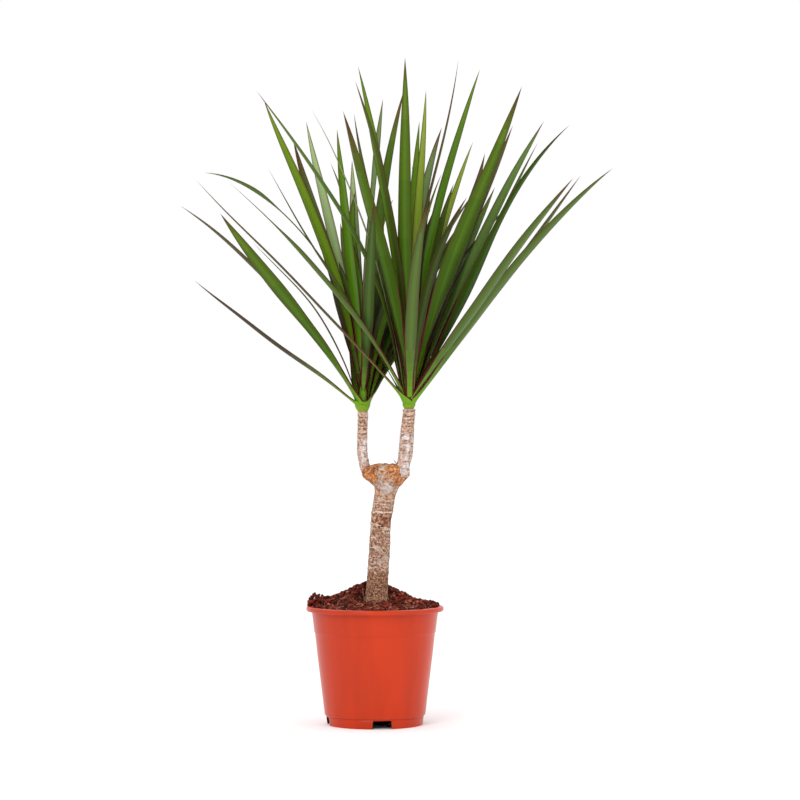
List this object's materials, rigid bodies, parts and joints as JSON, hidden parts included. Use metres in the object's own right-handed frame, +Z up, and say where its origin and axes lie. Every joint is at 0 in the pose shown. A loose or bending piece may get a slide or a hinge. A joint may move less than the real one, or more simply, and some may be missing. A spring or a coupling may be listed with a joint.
{
  "type": "potted madagascar dragon tree",
  "caption": "Young forked dragon tree in a nursery pot: a ringed trunk with a swollen fork, short boughs and open heads of narrow sword leaves.",
  "frame": {"origin": "middle of the pot's flat underside, at the level it stands on", "axes": "+Z up the plant, +X to the right of the front view along the fork, +Y away from the front"},
  "size_m": [0.4213, 0.3712, 0.6687],
  "materials": {
    "moulded_pot": "satin moulded polypropylene, orange-red",
    "potting_mix": "loose damp coir and bark crumbs, dark red-brown",
    "trunk_bark": "dry ringed bark with a corky burr, tan",
    "bough_bark": "dry ringed bark, pinkish tan with pale waxy patches",
    "leaf_blades": "smooth leathery leaf, green with thin maroon margins"
  },
  "bodies": {
    "root": {"left_bough": "bough_bark", "left_heart": "leaf_blades", "left_leaf_01": "leaf_blades", "left_leaf_02": "leaf_blades", "left_leaf_03": "leaf_blades", "left_leaf_04": "leaf_blades", "left_leaf_05": "leaf_blades", "left_leaf_06": "leaf_blades", "left_leaf_07": "leaf_blades", "left_leaf_08": "leaf_blades", "left_leaf_09": "leaf_blades", "left_leaf_10": "leaf_blades", "left_leaf_11": "leaf_blades", "left_leaf_12": "leaf_blades", "left_leaf_13": "leaf_blades", "left_leaf_14": "leaf_blades", "left_leaf_15": "leaf_blades", "left_leaf_16": "leaf_blades", "left_leaf_17": "leaf_blades", "left_leaf_18": "leaf_blades", "left_leaf_19": "leaf_blades", "left_leaf_20": "leaf_blades", "pot": "moulded_pot", "right_bough": "bough_bark", "right_heart": "leaf_blades", "right_leaf_01": "leaf_blades", "right_leaf_02": "leaf_blades", "right_leaf_03": "leaf_blades", "right_leaf_04": "leaf_blades", "right_leaf_05": "leaf_blades", "right_leaf_06": "leaf_blades", "right_leaf_07": "leaf_blades", "right_leaf_08": "leaf_blades", "right_leaf_09": "leaf_blades", "right_leaf_10": "leaf_blades", "right_leaf_11": "leaf_blades", "right_leaf_12": "leaf_blades", "right_leaf_13": "leaf_blades", "right_leaf_14": "leaf_blades", "right_leaf_15": "leaf_blades", "right_leaf_16": "leaf_blades", "right_leaf_17": "leaf_blades", "right_leaf_18": "leaf_blades", "right_leaf_19": "leaf_blades", "right_leaf_20": "leaf_blades", "right_leaf_21": "leaf_blades", "right_leaf_22": "leaf_blades", "right_leaf_23": "leaf_blades", "right_leaf_24": "leaf_blades", "right_leaf_25": "leaf_blades", "right_leaf_26": "leaf_blades", "right_leaf_27": "leaf_blades", "right_leaf_28": "leaf_blades", "soil": "potting_mix", "trunk": "trunk_bark"}
  },
  "joints": []
}
